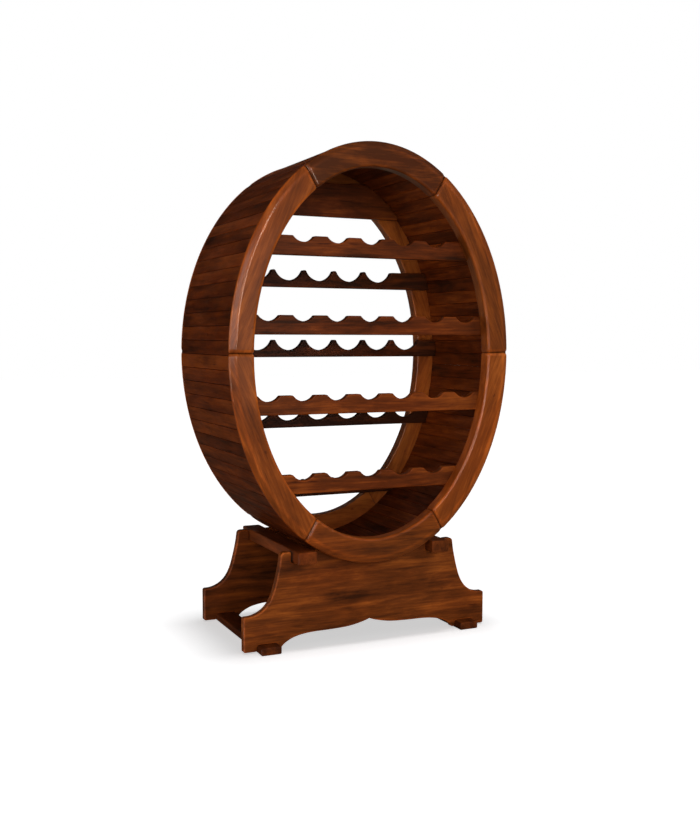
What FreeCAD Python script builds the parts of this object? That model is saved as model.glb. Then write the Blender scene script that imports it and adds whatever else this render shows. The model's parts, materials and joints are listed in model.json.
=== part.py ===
import FreeCAD, Part
import math, os
from FreeCAD import Vector as V

# Oval barrel-shaped bottle rack on a cradle stand, all solid wood.
# Millimetres. Origin: centre of the footprint, on the floor. +X right, +Y to the back, +Z up.
# The barrel's axis runs along Y; its two open ends face -Y (front) and +Y (back).

# ---- driving dimensions -------------------------------------------------------------------
ring_a = 338.0            # half width of the oval end rings
ring_b = 460.0            # half height of the oval end rings
barrel_zc = 639.3         # height of the barrel's axis
barrel_depth = 366.0      # over both rings, along Y
ring_face = 55.0          # width of the rings' visible face
ring_t = 30.0             # thickness of the rings along Y
flange_t = 9.0            # part of the ring in front of the stave ends
ring_round_out = 8.0      # rounding of the outer face arris
ring_round_in = 5.5       # rounding of the inner face arris
joint_angles = [0.57, 60.0, 120.0, 179.43, 240.0, 300.0]   # felloe joints, ellipse parameter in degrees
felloe_end = (8.5, 4.2)   # rounded ends where two felloes meet: along the felloe, and down at the joint

stave_count = 80
stave_t = 9.5
stave_recess = 1.2        # stave faces lie this far inside the ring's rim
stave_gap = 0.15          # each side
stave_ease = 1.0          # eased long arrises

level_z = [339.5, 511.2, 682.9, 851.5]   # undersides of the front rails, bottom level first
level_slots = [5, 7, 7, 5]               # bottle places per level
back_drop = 53.8          # back rails sit lower, so that the bottles lie sloping back
rail_h = 42.0
rail_t = 18.0
rail_round = 2.5
slot_pitch = 80.0
neck_r, neck_depth = 30.4, 13.0          # cradle cut-outs of the front rails
body_r, body_depth = 38.5, 25.0          # cradle cut-outs of the back rails, deep enough to hold a bottle's body
top_rail_z = (971.0, 1052.0)
wall_clear = 1.2

board_t = 18.0
board_y = 133.0           # inner face of each stand board, from the middle
board_foot = 3.0          # boards clear the floor by this much
seat_ease = 0.7           # the boards' oval seats carry the staves, just inside the rings' outline
bearer_x = (142.0, 185.0)
bearer_z = (189.5, 216.0)
bearer_len = 364.0
bearer_slot = (5.0, 1.0)  # free width of the notch outside each bearer, in the front and in the back board
runner_x = (222.0, 268.0)
runner_h = 17.0
runner_len = 354.0
barrel_screw_x = 60.0     # where the screws from the barrel into the boards cross its outline
bearer_screw_x = 163.5
runner_screw_x = 245.0

dowel_r = 4.0

os.makedirs("parts", exist_ok=True)
Y0, Y1 = -barrel_depth / 2, barrel_depth / 2


def save(name, solids):
    shape = solids[0] if len(solids) == 1 else Part.makeCompound(solids)
    for s in shape.Solids:
        if not s.isValid():
            print("INVALID", name)
    if len(shape.Solids) != len(solids):
        print("SOLIDS", name, len(shape.Solids), len(solids))
    shape.exportStep("parts/%s.step" % name)
    print("%-26s solids %3d  volume %10.1f cm3" % (name, len(shape.Solids), shape.Volume / 1000.0))


def one(shape):
    """The single solid of a boolean result."""
    s = sorted(shape.Solids, key=lambda q: -q.Volume)
    return s[0]


def oval(a, b, y0, y1, zc=None):
    """Elliptic cylinder along Y."""
    zc = barrel_zc if zc is None else zc
    # ellipse with its long axis along Z (b > a) in the XZ plane
    e = Part.Ellipse(V(0, y0, zc + b), V(a, y0, zc), V(0, y0, zc))
    face = Part.Face(Part.Wire([e.toShape()]))
    return face.extrude(V(0, y1 - y0, 0))


def pt(a, b, t):
    return V(a * math.cos(t), 0, barrel_zc + b * math.sin(t))


def normal(a, b, t):
    n = V(math.cos(t) / a, 0, math.sin(t) / b)
    n.normalize()
    return n


def prism_xz(points, y0, y1):
    w = Part.makePolygon([V(x, y0, z) for x, z in points] + [V(points[0][0], y0, points[0][1])])
    return Part.Face(w).extrude(V(0, y1 - y0, 0))


def box(x0, x1, y0, y1, z0, z1):
    return Part.makeBox(x1 - x0, y1 - y0, z1 - z0, V(x0, y0, z0))


def screw(head_r, shank_r, length, at, direction):
    """Countersunk wood screw: at is the middle of the head's top, direction points down the shank."""
    hh = head_r - shank_r
    pts = [V(0, 0, 0), V(head_r, 0, 0), V(head_r, 0, 0.4), V(shank_r, 0, hh + 0.4), V(shank_r, 0, length - 2.2 * shank_r), V(0.25, 0, length), V(0, 0, length), V(0, 0, 0)]
    s = Part.Face(Part.makePolygon(pts)).revolve(V(0, 0, 0), V(0, 0, 1), 360)
    s = one(s) if s.Solids else Part.Solid(s)
    if s.Volume < 0:
        s.reverse()
    s.Placement = FreeCAD.Placement(at, FreeCAD.Rotation(V(0, 0, 1), direction))
    return s


# ---- the two rings ------------------------------------------------------------------------
rab = stave_recess + stave_t          # depth of the rabbet that takes the staves


def whole_ring(side):
    """side -1: front ring, +1: back ring."""
    face_y = side * barrel_depth / 2
    step_y = side * (barrel_depth / 2 - flange_t)
    back_y = side * (barrel_depth / 2 - ring_t)
    lo, hi = sorted((face_y, step_y))
    flange = oval(ring_a, ring_b, lo, hi)
    lo, hi = sorted((step_y, back_y))
    body = oval(ring_a - rab, ring_b - rab, lo, hi)
    hole = oval(ring_a - ring_face, ring_b - ring_face, min(face_y, back_y) - 1, max(face_y, back_y) + 1)
    ring = flange.fuse(body).cut(hole)
    ring = one(ring.removeSplitter())
    out_e, in_e, back_e = [], [], []
    for e in ring.Edges:
        bb = e.BoundBox
        if bb.YLength > 0.01:
            continue
        if abs(bb.YMin - face_y) < 0.01 and bb.XLength > 2 * ring_a - 1:
            out_e.append(e)
        elif abs(bb.YMin - face_y) < 0.01:
            in_e.append(e)
        elif abs(bb.YMin - back_y) < 0.01 and bb.XLength < 2 * (ring_a - ring_face) + 1:
            back_e.append(e)
    ring = ring.makeFillet(ring_round_out, out_e)
    in_e = [e for e in ring.Edges if e.BoundBox.YLength < 0.01 and abs(e.BoundBox.YMin - face_y) < 0.01 and e.BoundBox.XLength < 2 * (ring_a - ring_face) + 1]
    ring = ring.makeFillet(ring_round_in, in_e)
    back_e = [e for e in ring.Edges if e.BoundBox.YLength < 0.01 and abs(e.BoundBox.YMin - back_y) < 0.01 and e.BoundBox.XLength < 2 * (ring_a - ring_face) + 1]
    ring = ring.makeFillet(2.0, back_e)
    return one(ring)


def joint_line(t):
    po = pt(ring_a, ring_b, t)
    pi = pt(ring_a - ring_face, ring_b - ring_face, t)
    d = po - pi
    d.normalize()
    return pi, po, d


felloe_names = ["upper_right", "top", "upper_left", "lower_left", "bottom", "lower_right"]


def wedge(t0, t1):
    i0, o0, d0 = joint_line(t0)
    i1, o1, d1 = joint_line(t1)
    a0, b0 = i0 - d0 * 60, o0 + d0 * 160
    a1, b1 = i1 - d1 * 60, o1 + d1 * 160
    tm = (t0 + t1) / 2
    mid = pt(ring_a + 160, ring_b + 160, tm)
    return prism_xz([(p.x, p.z) for p in (a0, b0, mid, b1, a1)], Y0 - 5, Y1 + 5)


# dowels in the felloe joints
def joint_dowels(side):
    out = []
    y = side * (barrel_depth / 2 - 12.5)
    for a in joint_angles:
        pi, po, d = joint_line(math.radians(a))
        n = V(-d.z, 0, d.x)
        for off in (32.0, 45.0):
            c = po - d * off
            c.y = y
            out.append(Part.makeCylinder(dowel_r, 40, c - n * 20, n))
    return out


def end_profile(sign_pairs=5):
    """Cross-section (sideways, depth) of the hollow that two rounded felloe ends leave between them."""
    w, h = felloe_end
    right = []
    for k in range(sign_pairs + 1):
        f = math.pi / 2 * k / sign_pairs
        right.append((w * (1 - math.cos(f)), h * (1 - math.sin(f))))
    left = [(-x, y) for x, y in right[:0:-1]]
    return [(-w, -2.0)] + left + right + [(w, -2.0)]


def end_hollows(side):
    """The felloes' rounded ends: a hollow along each joint, across the face and round both edges."""
    face_y = side * barrel_depth / 2
    prof = end_profile()
    cuts = []
    for a in joint_angles:
        t = math.radians(a)
        pi, po, d = joint_line(t)
        n = V(-d.z, 0, d.x)
        s, e = pi - d * 6, po + d * 6
        s, e = V(s.x, face_y, s.z), V(e.x, face_y, e.z)
        pts = [s + n * x - V(0, side * y, 0) for x, y in prof]
        cuts.append(Part.Face(Part.makePolygon(pts + pts[:1])).extrude(e - s))
        for p, ra, rb, q in ((po, ring_a, ring_b, 1.0), (pi, ring_a - ring_face, ring_b - ring_face, -1.0)):
            nn = normal(ra, rb, t)
            tg = V(-nn.z, 0, nn.x)
            c = V(p.x, min(face_y, face_y - side * ring_t) - 1, p.z)
            pts = [c + tg * x - d * (q * y) for x, y in prof]
            cuts.append(Part.Face(Part.makePolygon(pts + pts[:1])).extrude(V(0, ring_t + 2, 0)))
    return cuts


# ---- staves -------------------------------------------------------------------------------
sa, sb = ring_a - rab, ring_b - rab     # the staves' inner faces touch this oval


def equal_arc_params(n):
    m = 7200
    ts = [2 * math.pi * i / m for i in range(m + 1)]
    cum = [0.0]
    for i in range(m):
        p, q = pt(sa, sb, ts[i]), pt(sa, sb, ts[i + 1])
        cum.append(cum[-1] + (q - p).Length)
    total = cum[-1]
    out, j = [], 0
    for k in range(n):
        target = total * k / n
        while cum[j + 1] < target:
            j += 1
        f = (target - cum[j]) / (cum[j + 1] - cum[j])
        out.append(ts[j] + f * (ts[j + 1] - ts[j]))
    return out, total


def meet(p, d, q, e):
    """Point where line p + s d meets q + u e, in XZ."""
    det = d.x * (-e.z) + e.x * d.z
    s = ((q.x - p.x) * (-e.z) + e.x * (q.z - p.z)) / det
    return p + d * s


params, girth = equal_arc_params(stave_count)
print("oval girth", round(girth, 1), "stave width", round(girth / stave_count, 2))
stave_list = []        # (centre parameter, solid, centre point, normal)
ys0, ys1 = Y0 + flange_t + 0.2, Y1 - flange_t - 0.2
for k in range(stave_count):
    t0 = params[k]
    t1 = params[(k + 1) % stave_count] + (2 * math.pi if k == stave_count - 1 else 0)
    tc = (t0 + t1) / 2
    pc, nc = pt(sa, sb, tc), normal(sa, sb, tc)
    tang = V(-nc.z, 0, nc.x)
    lines = []
    for t, sgn in ((t0, 1), (t1, -1)):
        p, n = pt(sa, sb, t), normal(sa, sb, t)
        tg = V(-n.z, 0, n.x)
        lines.append((p + tg * (sgn * stave_gap), n))
    i0 = meet(pc, tang, *lines[0])
    i1 = meet(pc, tang, *lines[1])
    po = pc + nc * stave_t
    o0 = meet(po, tang, *lines[0])
    o1 = meet(po, tang, *lines[1])
    c = stave_ease
    n0, n1 = lines[0][1], lines[1][1]
    u = (i1 - i0)
    u.normalize()
    poly = [i0 + u * c, i1 - u * c, i1 + n1 * c, o1 - n1 * c, o1 - u * c, o0 + u * c, o0 - n0 * c, i0 + n0 * c]
    solid = prism_xz([(p.x, p.z) for p in poly], ys0, ys1)
    stave_list.append([tc, solid, pc, nc])


def sector(t):
    d = math.degrees(t) % 360
    js = joint_angles
    for i in range(6):
        lo = js[i]
        hi = js[(i + 1) % 6] + (360 if i == 5 else 0)
        if lo <= d < hi or lo <= d + 360 < hi:
            return i
    return 5


# ---- brads through the stave ends into the rings ------------------------------------------
brad_r, brad_len, brad_set = 0.8, 20.0, 1.0


def brads(side):
    y = side * (barrel_depth / 2 - 19.5)
    out = []
    for tc, solid, pc, nc in stave_list:
        top = pc + nc * (stave_t - brad_set)
        top.y = y
        out.append(Part.makeCylinder(brad_r, brad_len, top, nc * -1))
    return out


brads_front, brads_back = brads(-1), brads(1)

# ---- screws that hold the barrel down on the stand's boards -------------------------------
barrel_screws = []
for sx in (-1, 1):
    t = -math.acos(barrel_screw_x / ring_a)
    n = normal(ring_a, ring_b, t)
    p = pt(ring_a, ring_b, t)
    head = p - n * (rab - 0.6)
    for y in (-(board_y + board_t / 2), board_y + board_t / 2):
        h = V(sx * head.x, y, head.z)
        d = V(sx * n.x, 0, n.z)
        barrel_screws.append(screw(4.0, 2.1, 38.0, h, d))
barrel_holes = Part.makeCompound(barrel_screws)

# staves: holes for brads, and for the four barrel screws
stave_groups = [[] for _ in range(6)]
for (tc, solid, pc, nc), bf, bb in zip(stave_list, brads_front, brads_back):
    tool = [bf, bb]
    for s in (bf, bb):
        y = s.CenterOfMass.y
        top = pc + nc * (stave_t - brad_set - 0.01)
        top.y = y
        tool.append(Part.makeCylinder(brad_r, brad_set + 2, top, nc))
    body = solid.cut(Part.makeCompound(tool))
    if abs(abs(pc.x) - barrel_screw_x) < 30 and pc.z < barrel_zc:
        body = body.cut(barrel_holes)
        # screw heads are sunk a little under the stave's face
        for sx in (-1, 1):
            t = -math.acos(barrel_screw_x / ring_a)
            n = normal(ring_a, ring_b, t)
            p = pt(ring_a, ring_b, t) - n * (rab - 0.6)
            for y in (-(board_y + board_t / 2), board_y + board_t / 2):
                body = body.cut(Part.makeCylinder(4.0, 6, V(sx * p.x, y, p.z), V(-sx * n.x, 0, -n.z)))
    stave_groups[sector(tc)].append(one(body))

for name, group in zip(felloe_names, stave_groups):
    save("staves_" + name, group)
save("stave_brads_front", brads_front)
save("stave_brads_back", brads_back)

# ---- rails --------------------------------------------------------------------------------
def half_width(a, b, z):
    return a * math.sqrt(max(0.0, 1 - ((z - barrel_zc) / b) ** 2))


def rail(z0, y0, y1, slots, r, depth):
    z1 = z0 + rail_h
    xe = min(half_width(sa, sb, z0), half_width(sa, sb, z1)) - wall_clear
    body = box(-ring_a, ring_a, y0, y1, z0, z1)
    edges = [e for e in body.Edges if e.BoundBox.XLength > 100]
    body = body.makeFillet(rail_round, edges)
    # the ends follow the barrel's wall
    body = body.common(oval(sa - wall_clear, sb - wall_clear, y0 - 1, y1 + 1))
    for i in range(slots):
        x = (i - (slots - 1) / 2) * slot_pitch
        body = body.cut(Part.makeCylinder(r, rail_t + 2, V(x, y0 - 1, z1 + r - depth), V(0, 1, 0)))
    return one(body), xe


def rail_dowels(z0, xe, side):
    """Two dowels at each end, 10 mm into the ring and 14 mm into the rail; one above the other in the front rails,
    side by side under the deep cradles of the back rails."""
    out = []
    y_ring = side * (barrel_depth / 2 - ring_t)
    places = []
    if side < 0:
        for z in (z0 + 10.5, z0 + 30.5):
            x_in = half_width(ring_a - ring_face, ring_b - ring_face, z)
            places.append(((x_in + 5 + xe - 3) / 2, z))
    else:
        z = z0 + 9.0
        x_in = half_width(ring_a - ring_face, ring_b - ring_face, z)
        places = [(x_in + 8, z), (xe - 14, z)]
    for x, z in places:
        for sx in (-1, 1):
            out.append(Part.makeCylinder(dowel_r, 24, V(sx * x, y_ring + side * 10, z), V(0, -side, 0)))
    return out


front_rails, back_rails = [], []
fd, bd = [], []
yf0, yf1 = Y0 + ring_t, Y0 + ring_t + rail_t
yb0, yb1 = Y1 - ring_t - rail_t, Y1 - ring_t
for i, z0 in enumerate(level_z):
    body, xe = rail(z0, yf0, yf1, level_slots[i], neck_r, neck_depth)
    dw = rail_dowels(z0, xe, -1)
    front_rails.append(one(body.cut(Part.makeCompound(dw))))
    fd += dw
    body, xe = rail(z0 - back_drop, yb0, yb1, level_slots[i], body_r, body_depth)
    dw = rail_dowels(z0 - back_drop, xe, 1)
    back_rails.append(one(body.cut(Part.makeCompound(dw))))
    bd += dw
    print("rail", i + 1, "half length back", round(xe, 1))

# board that closes the top of the back opening
tz0, tz1 = top_rail_z
body = box(-260, 260, yb0, yb1, tz0, tz1)
body = body.makeFillet(rail_round, [e for e in body.Edges if e.BoundBox.XLength > 100])
body = body.common(oval(sa - wall_clear, sb - wall_clear, yb0 - 1, yb1 + 1))
dw = []
for sx in (-1, 1):
    for x, z in ((178.0, 985.0), (132.0, 1021.0)):
        dw.append(Part.makeCylinder(dowel_r, 24, V(sx * x, Y1 - ring_t + 10, z), V(0, -1, 0)))
top_rail = one(body.cut(Part.makeCompound(dw)))
bd += dw

for i in range(4):
    save("front_rail_%d" % (i + 1), [front_rails[i]])
for i in range(4):
    save("back_rail_%d" % (i + 1), [back_rails[i]])
save("back_top_rail", [top_rail])
save("front_rail_dowels", fd)
save("back_rail_dowels", bd)

# ---- felloes ------------------------------------------------------------------------------
for side, word, bds, rds in ((-1, "front", brads_front, fd), (1, "back", brads_back, bd)):
    ring = whole_ring(side)
    jd = joint_dowels(side)
    tools = Part.makeCompound(bds + rds + jd + end_hollows(side))
    ring = ring.cut(tools)
    for i, name in enumerate(felloe_names):
        t0 = math.radians(joint_angles[i])
        t1 = math.radians(joint_angles[(i + 1) % 6] + (360 if i == 5 else 0))
        seg = ring.common(wedge(t0, t1))
        save("%s_felloe_%s" % (word, name), [one(seg)])
    save("%s_felloe_dowels" % word, jd)

# ---- stand --------------------------------------------------------------------------------
# right half of the boards' outline, from the middle of the arch round to the middle of the top
arch = [(0, 46.5), (10, 43.0), (22, 39.8), (35, 37.0), (52, 34.3), (75, 32.8), (105, 32.0), (140, 31.4), (165, 28.8), (186, 23.5), (202, 15.5), (210.5, 8.5), (214, board_foot)]
side_curve = [(290.0, 80.0), (281.5, 80.7), (272.5, 83.0), (263.0, 87.0), (254.0, 92.8), (245.5, 101.0), (238.0, 112.0), (231.2, 127.0), (226.5, 142.0), (222.6, 157.0), (219.0, 173.0), (216.0, 188.0), (213.6, 205.0)]
board_x = 299.0
shoulder_z = 80.0
ear_z = 214.0
ear_round = [(213.6, 205.0), (211.0, 211.6), (204.6, 214.0)]   # arc over the ear's outer corner


def spline(points, y, mirror=1):
    b = Part.BSplineCurve()
    b.interpolate([V(mirror * x, y, z) for x, z in points])
    return b.toShape()


def line(p, q, y, mirror=1):
    return Part.LineSegment(V(mirror * p[0], y, p[1]), V(mirror * q[0], y, q[1])).toShape()


def board(y0):
    edges = []
    for m in (1, -1):
        edges.append(spline(arch, y0, m))
        edges.append(line(arch[-1], (board_x, board_foot), y0, m))
        edges.append(line((board_x, board_foot), (board_x, shoulder_z), y0, m))
        edges.append(line((board_x, shoulder_z), side_curve[0], y0, m))
        edges.append(spline(side_curve, y0, m))
        edges.append(Part.Arc(*[V(m * x, y0, z) for x, z in ear_round]).toShape())
        edges.append(line(ear_round[-1], (0, ear_z), y0, m))
    wire = Part.Wire(Part.__sortEdges__(edges))
    body = Part.Face(wire).extrude(V(0, board_t, 0))
    body = body.cut(oval(ring_a - seat_ease, ring_b - seat_ease, y0 - 1, y0 + board_t + 1))
    slot = bearer_slot[0] if y0 < 0 else bearer_slot[1]
    for sx in (-1, 1):
        x0, x1 = sorted((sx * bearer_x[0], sx * (bearer_x[1] + slot)))
        body = body.cut(box(x0, x1, y0 - 1, y0 + board_t + 1, bearer_z[0], 400))
        x0, x1 = sorted((sx * runner_x[0], sx * runner_x[1]))
        body = body.cut(box(x0, x1, y0 - 1, y0 + board_t + 1, -1, runner_h))
    return one(body.removeSplitter())


def eased_beam(x0, x1, z0, z1, length, ease):
    b = box(x0, x1, -length / 2, length / 2, z0, z1)
    ends = [e for e in b.Edges if e.BoundBox.YLength < 0.1]
    return b.makeChamfer(ease, ends)


bearer_screws, runner_screws = [], []
for sx in (-1, 1):
    for y in (-(board_y + board_t / 2), board_y + board_t / 2):
        bearer_screws.append(screw(5.0, 2.6, 62.0, V(sx * bearer_screw_x, y, bearer_z[1] - 0.6), V(0, 0, -1)))
        runner_screws.append(screw(5.0, 2.6, 62.0, V(sx * runner_screw_x, y, 1.6), V(0, 0, 1)))
bs, rs = Part.makeCompound(bearer_screws), Part.makeCompound(runner_screws)

for y0, name in ((-board_y - board_t, "stand_front_board"), (board_y, "stand_back_board")):
    save(name, [one(board(y0).cut(bs).cut(rs).cut(barrel_holes))])

for sx, word in ((-1, "left"), (1, "right")):
    x0, x1 = sorted((sx * bearer_x[0], sx * bearer_x[1]))
    b = eased_beam(x0, x1, bearer_z[0], bearer_z[1], bearer_len, 1.2)
    b = b.cut(bs)
    for y in (-(board_y + board_t / 2), board_y + board_t / 2):
        b = b.cut(Part.makeCylinder(5.0, 3, V(sx * bearer_screw_x, y, bearer_z[1] - 0.7), V(0, 0, 1)))
    save("bearer_" + word, [one(b)])
    x0, x1 = sorted((sx * runner_x[0], sx * runner_x[1]))
    r = eased_beam(x0, x1, 0, runner_h, runner_len, 1.2).cut(rs)
    for y in (-(board_y + board_t / 2), board_y + board_t / 2):
        r = r.cut(Part.makeCylinder(5.0, 3, V(sx * runner_screw_x, y, 1.7), V(0, 0, -1)))
    save("runner_" + word, [one(r)])

save("bearer_screws", bearer_screws)
save("runner_screws", runner_screws)
save("barrel_screws", barrel_screws)
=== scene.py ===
import json
import math

import bpy
import numpy as np
from mathutils import Matrix, Vector
from mathutils.geometry import delaunay_2d_cdt

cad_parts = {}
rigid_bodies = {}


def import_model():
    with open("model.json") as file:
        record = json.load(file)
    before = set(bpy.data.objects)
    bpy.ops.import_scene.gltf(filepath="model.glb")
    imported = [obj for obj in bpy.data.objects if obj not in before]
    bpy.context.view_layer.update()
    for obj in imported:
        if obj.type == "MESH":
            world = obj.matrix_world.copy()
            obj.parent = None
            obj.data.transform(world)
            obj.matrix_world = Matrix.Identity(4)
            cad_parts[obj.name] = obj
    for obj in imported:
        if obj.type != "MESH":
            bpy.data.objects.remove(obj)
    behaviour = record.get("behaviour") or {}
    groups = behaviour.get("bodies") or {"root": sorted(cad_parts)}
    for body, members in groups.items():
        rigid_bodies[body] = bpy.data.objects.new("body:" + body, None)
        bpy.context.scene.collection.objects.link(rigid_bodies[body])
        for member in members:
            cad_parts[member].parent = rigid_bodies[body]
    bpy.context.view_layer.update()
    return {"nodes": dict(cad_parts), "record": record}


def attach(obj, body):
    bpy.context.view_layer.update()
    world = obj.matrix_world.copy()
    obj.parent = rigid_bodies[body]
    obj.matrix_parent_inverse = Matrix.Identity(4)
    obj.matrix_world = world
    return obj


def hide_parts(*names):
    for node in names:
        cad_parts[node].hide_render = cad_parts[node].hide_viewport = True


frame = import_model()

scene = bpy.context.scene

# =============================================================================================
# camera at the photograph's viewing angle
# =============================================================================================
AZ, PITCH, ROLL = math.radians(24.933), math.radians(4.42), math.radians(0.183)
fwd = Vector((math.sin(AZ) * math.cos(PITCH), math.cos(AZ) * math.cos(PITCH), -math.sin(PITCH)))
right0 = Vector((math.cos(AZ), -math.sin(AZ), 0.0))
up0 = right0.cross(fwd)
cx = right0 * math.cos(ROLL) + up0 * math.sin(ROLL)
cy = up0 * math.cos(ROLL) - right0 * math.sin(ROLL)
cam_data = bpy.data.cameras.new("camera")
cam = bpy.data.objects.new("camera", cam_data)
scene.collection.objects.link(cam)
cam.matrix_world = Matrix((
    (cx.x, cy.x, -fwd.x, -1.0214),
    (cx.y, cy.y, -fwd.y, -2.2388),
    (cx.z, cy.z, -fwd.z, 0.6810),
    (0, 0, 0, 1)))
cam_data.sensor_fit = "AUTO"
cam_data.sensor_width = 36.0
cam_data.lens = 1050.0 / 834.0 * 36.0
cam_data.clip_start, cam_data.clip_end = 0.05, 60.0
scene.camera = cam

# =============================================================================================
# dimensions, in metres: the same as in the construction
# =============================================================================================
MM = 0.001
RA, RB, ZC = 338.0 * MM, 460.0 * MM, 639.3 * MM
DEPTH = 366.0 * MM
FACE, RT, FLANGE = 55.0 * MM, 30.0 * MM, 9.0 * MM
JOINTS = [0.57, 60.0, 120.0, 179.43, 240.0, 300.0]
NAMES = ["upper_right", "top", "upper_left", "lower_left", "bottom", "lower_right"]
N_STAVES, STAVE_T, RECESS = 80, 9.5 * MM, 1.2 * MM
RAB = RECESS + STAVE_T
SA, SB = RA - RAB, RB - RAB
LEVEL_Z = [339.5 * MM, 511.2 * MM, 682.9 * MM, 851.5 * MM]
LEVEL_SLOTS = [5, 7, 7, 5]
BACK_DROP, RAIL_H, RAIL_T = 53.8 * MM, 42.0 * MM, 18.0 * MM
PITCH_X = 80.0 * MM
NECK_R, NECK_D = 30.4 * MM, 13.0 * MM
BODY_R, BODY_D = 38.5 * MM, 25.0 * MM
TOP_Z = (971.0 * MM, 1052.0 * MM)
CLEAR = 1.2 * MM
Y0, Y1 = -DEPTH / 2, DEPTH / 2

rng = np.random.default_rng(20260)


# =============================================================================================
# node materials
# =============================================================================================
class Tree:
    """Small helper to write node trees."""

    def __init__(self, name):
        self.mat = bpy.data.materials.new(name)
        self.mat.use_nodes = True
        self.nt = self.mat.node_tree
        self.nt.nodes.clear()
        self.out = self.nt.nodes.new("ShaderNodeOutputMaterial")

    def put(self, socket, value):
        if isinstance(value, bpy.types.NodeSocket):
            self.nt.links.new(value, socket)
        elif value is not None:
            socket.default_value = value

    def node(self, kind, inputs=None, **props):
        n = self.nt.nodes.new(kind)
        for k, v in props.items():
            setattr(n, k, v)
        for k, v in (inputs or {}).items():
            self.put(n.inputs[k], v)
        return n

    def math(self, op, a, b=None, c=None, clamp=False):
        n = self.node("ShaderNodeMath", operation=op, use_clamp=clamp)
        self.put(n.inputs[0], a)
        if b is not None:
            self.put(n.inputs[1], b)
        if c is not None:
            self.put(n.inputs[2], c)
        return n.outputs[0]

    def vmath(self, op, a, b=None, scale=None):
        n = self.node("ShaderNodeVectorMath", operation=op)
        self.put(n.inputs[0], a)
        if b is not None:
            self.put(n.inputs[1], b)
        if scale is not None:
            self.put(n.inputs["Scale"], scale)
        return n.outputs[0]

    def noise(self, vec, scale, detail=2.0, rough=0.5, distort=0.0, dims="3D", lac=2.0):
        n = self.node("ShaderNodeTexNoise", {"Vector": vec, "Scale": scale, "Detail": detail, "Roughness": rough,
                                             "Distortion": distort, "Lacunarity": lac}, noise_dimensions=dims)
        return n.outputs["Fac"]

    def noise_color(self, vec, scale, detail=2.0, rough=0.5):
        n = self.node("ShaderNodeTexNoise", {"Vector": vec, "Scale": scale, "Detail": detail, "Roughness": rough})
        return n.outputs["Color"]

    def ramp(self, fac, stops, interp="LINEAR"):
        n = self.node("ShaderNodeValToRGB", {"Fac": fac})
        cr = n.color_ramp
        cr.interpolation = interp
        while len(cr.elements) > 1:
            cr.elements.remove(cr.elements[-1])
        cr.elements[0].position = stops[0][0]
        cr.elements[0].color = self.rgba(stops[0][1])
        for p, c in stops[1:]:
            e = cr.elements.new(p)
            e.color = self.rgba(c)
        return n.outputs["Color"]

    @staticmethod
    def rgba(c):
        if isinstance(c, (int, float)):
            return (c, c, c, 1.0)
        return (c[0], c[1], c[2], 1.0)

    def range(self, v, a, b, c=0.0, d=1.0, smooth=False):
        n = self.node("ShaderNodeMapRange", {"Value": v, "From Min": a, "From Max": b, "To Min": c, "To Max": d},
                      interpolation_type="SMOOTHSTEP" if smooth else "LINEAR")
        return n.outputs["Result"]

    def mix(self, fac, a, b, blend="MIX"):
        n = self.node("ShaderNodeMix", data_type="RGBA", blend_type=blend)
        self.put(n.inputs[0], fac)
        self.put(n.inputs[6], a if isinstance(a, bpy.types.NodeSocket) else self.rgba(a))
        self.put(n.inputs[7], b if isinstance(b, bpy.types.NodeSocket) else self.rgba(b))
        return n.outputs[2]

    def attr(self, name, which="Vector"):
        n = self.node("ShaderNodeAttribute", attribute_name=name, attribute_type="GEOMETRY")
        return n.outputs[which]

    def scale3(self, vec, s):
        return self.vmath("MULTIPLY", vec, s)


def rgb(r, g, b):
    """sRGB 0..255 to linear."""
    def lin(v):
        v /= 255.0
        return v / 12.92 if v <= 0.04045 else ((v + 0.055) / 1.055) ** 2.4
    return (lin(r), lin(g), lin(b))


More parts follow.
